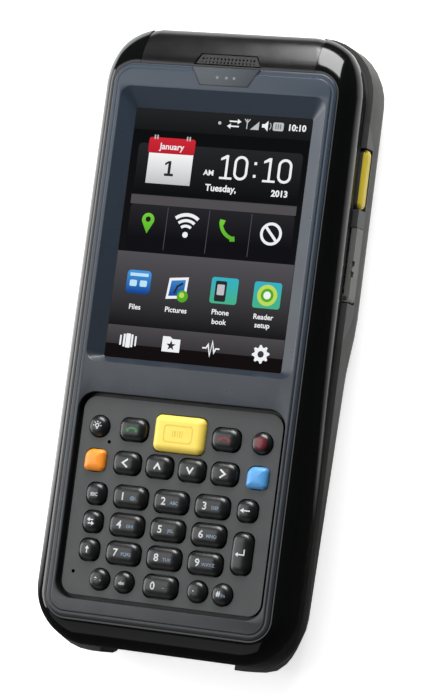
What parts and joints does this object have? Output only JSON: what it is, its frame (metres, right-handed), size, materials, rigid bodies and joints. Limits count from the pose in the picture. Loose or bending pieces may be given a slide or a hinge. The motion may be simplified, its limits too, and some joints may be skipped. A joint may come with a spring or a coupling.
{
  "type": "handheld barcode data terminal",
  "caption": "Slim hand-held data terminal with a touch display, domed keypad, scanner head at the top end, side triggers, hinged port cover and battery cover.",
  "frame": {"origin": "under the middle of the body, on the plane of the flat back", "axes": "+Z out of the display, +Y towards the scanner end, +X to the right as seen by the user"},
  "size_m": [0.0816, 0.179, 0.0303],
  "materials": {
    "gloss_black": "polished moulded plastic",
    "slate_plastic": "satin painted moulding",
    "plate_grey": "satin moulding",
    "smoke_window": "translucent smoke",
    "grille_black": "black moulding",
    "display_glass": "hard-coated touch glass over a lit picture",
    "bare_metal": "stamped sheet",
    "circuit_board": "solder mask",
    "cast_frame": "die cast",
    "seal_rubber": "soft seal",
    "shell_grey": "fine spark texture",
    "bumper_rubber": "moulded-on soft grip",
    "trigger_yellow": "satin moulding",
    "port_rubber": "soft cover",
    "scan_window": "dark red filter",
    "battery_case": "matt case",
    "contact_gold": "plated spring strip",
    "latch_yellow": "satin moulding",
    "screw_steel": "blackened head",
    "key_black": "lacquered silicone rubber",
    "key_yellow": "lacquered silicone rubber",
    "key_orange": "lacquered silicone rubber",
    "key_blue": "lacquered silicone rubber",
    "key_red": "lacquered silicone rubber"
  },
  "bodies": {
    "root": {"front_housing": "gloss_black", "top_cap": "gloss_black", "face_plate": "slate_plastic", "indicator_window": "smoke_window", "earpiece_grille": "grille_black", "display_glass": "display_glass", "lcd_module": "bare_metal", "keypad_plate": "plate_grey", "key_domes": "bare_metal", "keypad_board": "circuit_board", "midframe": "cast_frame", "main_board": "circuit_board", "side_sockets": "bare_metal", "earpiece_speaker": "grille_black", "housing_gasket": "seal_rubber", "rear_housing": "shell_grey", "rubber_bumper": "bumper_rubber", "port_hinge_pin": "bare_metal", "scan_engine": "cast_frame", "scan_window": "scan_window", "loudspeaker": "grille_black", "dock_connector": "grille_black", "battery_pack": "battery_case", "battery_contacts": "contact_gold", "housing_screws": "screw_steel"},
    "left_trigger": {"left_trigger": "trigger_yellow"},
    "right_trigger": {"right_trigger": "trigger_yellow"},
    "port_cover": {"port_cover": "port_rubber"},
    "battery_cover": {"battery_cover": "shell_grey"},
    "battery_latch": {"battery_latch": "latch_yellow"},
    "key_backlight": {"key_backlight": "key_black"},
    "key_call": {"key_call": "key_black"},
    "key_scan": {"key_scan": "key_yellow"},
    "key_end": {"key_end": "key_black"},
    "key_power": {"key_power": "key_red"},
    "key_orange": {"key_orange": "key_orange"},
    "key_left": {"key_left": "key_black"},
    "key_up": {"key_up": "key_black"},
    "key_down": {"key_down": "key_black"},
    "key_right": {"key_right": "key_black"},
    "key_blue": {"key_blue": "key_blue"},
    "key_escape": {"key_escape": "key_black"},
    "key_1": {"key_1": "key_black"},
    "key_2": {"key_2": "key_black"},
    "key_3": {"key_3": "key_black"},
    "key_backspace": {"key_backspace": "key_black"},
    "key_tab": {"key_tab": "key_black"},
    "key_4": {"key_4": "key_black"},
    "key_5": {"key_5": "key_black"},
    "key_6": {"key_6": "key_black"},
    "key_shift": {"key_shift": "key_black"},
    "key_7": {"key_7": "key_black"},
    "key_8": {"key_8": "key_black"},
    "key_9": {"key_9": "key_black"},
    "key_star": {"key_star": "key_black"},
    "key_alpha": {"key_alpha": "key_black"},
    "key_0": {"key_0": "key_black"},
    "key_point": {"key_point": "key_black"},
    "key_hash": {"key_hash": "key_black"},
    "key_enter": {"key_enter": "key_black"}
  },
  "joints": [
    {"name": "left_trigger_press", "type": "slide", "parent": "root", "child": "left_trigger", "axis": [1, 0, 0], "range_m": [0, 0.001], "stiffness_N_per_m": 600, "springref_m": -0.001},
    {"name": "right_trigger_press", "type": "slide", "parent": "root", "child": "right_trigger", "axis": [-1, 0, 0], "range_m": [0, 0.001], "stiffness_N_per_m": 600, "springref_m": -0.001},
    {"name": "port_cover_hinge", "type": "hinge", "parent": "root", "child": "port_cover", "pos_m": [0.03895, 0.0169, 0.0143], "axis": [0, 0, -1], "range_deg": [0, 95]},
    {"name": "battery_cover_hinge", "type": "hinge", "parent": "root", "child": "battery_cover", "pos_m": [0, -0.0692, 0.0023], "axis": [-1, 0, 0], "range_deg": [0, 75]},
    {"name": "battery_latch_slide", "type": "slide", "parent": "root", "child": "battery_latch", "axis": [0, -1, 0], "range_m": [0, 0.0025]},
    {"name": "key_backlight_press", "type": "slide", "parent": "root", "child": "key_backlight", "axis": [0, 0, -1], "range_m": [0, 0.0008], "stiffness_N_per_m": 400, "springref_m": -0.0006},
    {"name": "key_call_press", "type": "slide", "parent": "root", "child": "key_call", "axis": [0, 0, -1], "range_m": [0, 0.0008], "stiffness_N_per_m": 400, "springref_m": -0.0006},
    {"name": "key_scan_press", "type": "slide", "parent": "root", "child": "key_scan", "axis": [0, 0, -1], "range_m": [0, 0.0008], "stiffness_N_per_m": 400, "springref_m": -0.0006},
    {"name": "key_end_press", "type": "slide", "parent": "root", "child": "key_end", "axis": [0, 0, -1], "range_m": [0, 0.0008], "stiffness_N_per_m": 400, "springref_m": -0.0006},
    {"name": "key_power_press", "type": "slide", "parent": "root", "child": "key_power", "axis": [0, 0, -1], "range_m": [0, 0.0008], "stiffness_N_per_m": 400, "springref_m": -0.0006},
    {"name": "key_orange_press", "type": "slide", "parent": "root", "child": "key_orange", "axis": [0, 0, -1], "range_m": [0, 0.0008], "stiffness_N_per_m": 400, "springref_m": -0.0006},
    {"name": "key_left_press", "type": "slide", "parent": "root", "child": "key_left", "axis": [0, 0, -1], "range_m": [0, 0.0008], "stiffness_N_per_m": 400, "springref_m": -0.0006},
    {"name": "key_up_press", "type": "slide", "parent": "root", "child": "key_up", "axis": [0, 0, -1], "range_m": [0, 0.0008], "stiffness_N_per_m": 400, "springref_m": -0.0006},
    {"name": "key_down_press", "type": "slide", "parent": "root", "child": "key_down", "axis": [0, 0, -1], "range_m": [0, 0.0008], "stiffness_N_per_m": 400, "springref_m": -0.0006},
    {"name": "key_right_press", "type": "slide", "parent": "root", "child": "key_right", "axis": [0, 0, -1], "range_m": [0, 0.0008], "stiffness_N_per_m": 400, "springref_m": -0.0006},
    {"name": "key_blue_press", "type": "slide", "parent": "root", "child": "key_blue", "axis": [0, 0, -1], "range_m": [0, 0.0008], "stiffness_N_per_m": 400, "springref_m": -0.0006},
    {"name": "key_escape_press", "type": "slide", "parent": "root", "child": "key_escape", "axis": [0, 0, -1], "range_m": [0, 0.0008], "stiffness_N_per_m": 400, "springref_m": -0.0006},
    {"name": "key_1_press", "type": "slide", "parent": "root", "child": "key_1", "axis": [0, 0, -1], "range_m": [0, 0.0008], "stiffness_N_per_m": 400, "springref_m": -0.0006},
    {"name": "key_2_press", "type": "slide", "parent": "root", "child": "key_2", "axis": [0, 0, -1], "range_m": [0, 0.0008], "stiffness_N_per_m": 400, "springref_m": -0.0006},
    {"name": "key_3_press", "type": "slide", "parent": "root", "child": "key_3", "axis": [0, 0, -1], "range_m": [0, 0.0008], "stiffness_N_per_m": 400, "springref_m": -0.0006},
    {"name": "key_backspace_press", "type": "slide", "parent": "root", "child": "key_backspace", "axis": [0, 0, -1], "range_m": [0, 0.0008], "stiffness_N_per_m": 400, "springref_m": -0.0006},
    {"name": "key_tab_press", "type": "slide", "parent": "root", "child": "key_tab", "axis": [0, 0, -1], "range_m": [0, 0.0008], "stiffness_N_per_m": 400, "springref_m": -0.0006},
    {"name": "key_4_press", "type": "slide", "parent": "root", "child": "key_4", "axis": [0, 0, -1], "range_m": [0, 0.0008], "stiffness_N_per_m": 400, "springref_m": -0.0006},
    {"name": "key_5_press", "type": "slide", "parent": "root", "child": "key_5", "axis": [0, 0, -1], "range_m": [0, 0.0008], "stiffness_N_per_m": 400, "springref_m": -0.0006},
    {"name": "key_6_press", "type": "slide", "parent": "root", "child": "key_6", "axis": [0, 0, -1], "range_m": [0, 0.0008], "stiffness_N_per_m": 400, "springref_m": -0.0006},
    {"name": "key_shift_press", "type": "slide", "parent": "root", "child": "key_shift", "axis": [0, 0, -1], "range_m": [0, 0.0008], "stiffness_N_per_m": 400, "springref_m": -0.0006},
    {"name": "key_7_press", "type": "slide", "parent": "root", "child": "key_7", "axis": [0, 0, -1], "range_m": [0, 0.0008], "stiffness_N_per_m": 400, "springref_m": -0.0006},
    {"name": "key_8_press", "type": "slide", "parent": "root", "child": "key_8", "axis": [0, 0, -1], "range_m": [0, 0.0008], "stiffness_N_per_m": 400, "springref_m": -0.0006},
    {"name": "key_9_press", "type": "slide", "parent": "root", "child": "key_9", "axis": [0, 0, -1], "range_m": [0, 0.0008], "stiffness_N_per_m": 400, "springref_m": -0.0006},
    {"name": "key_star_press", "type": "slide", "parent": "root", "child": "key_star", "axis": [0, 0, -1], "range_m": [0, 0.0008], "stiffness_N_per_m": 400, "springref_m": -0.0006},
    {"name": "key_alpha_press", "type": "slide", "parent": "root", "child": "key_alpha", "axis": [0, 0, -1], "range_m": [0, 0.0008], "stiffness_N_per_m": 400, "springref_m": -0.0006},
    {"name": "key_0_press", "type": "slide", "parent": "root", "child": "key_0", "axis": [0, 0, -1], "range_m": [0, 0.0008], "stiffness_N_per_m": 400, "springref_m": -0.0006},
    {"name": "key_point_press", "type": "slide", "parent": "root", "child": "key_point", "axis": [0, 0, -1], "range_m": [0, 0.0008], "stiffness_N_per_m": 400, "springref_m": -0.0006},
    {"name": "key_hash_press", "type": "slide", "parent": "root", "child": "key_hash", "axis": [0, 0, -1], "range_m": [0, 0.0008], "stiffness_N_per_m": 400, "springref_m": -0.0006},
    {"name": "key_enter_press", "type": "slide", "parent": "root", "child": "key_enter", "axis": [0, 0, -1], "range_m": [0, 0.0008], "stiffness_N_per_m": 400, "springref_m": -0.0006}
  ]
}
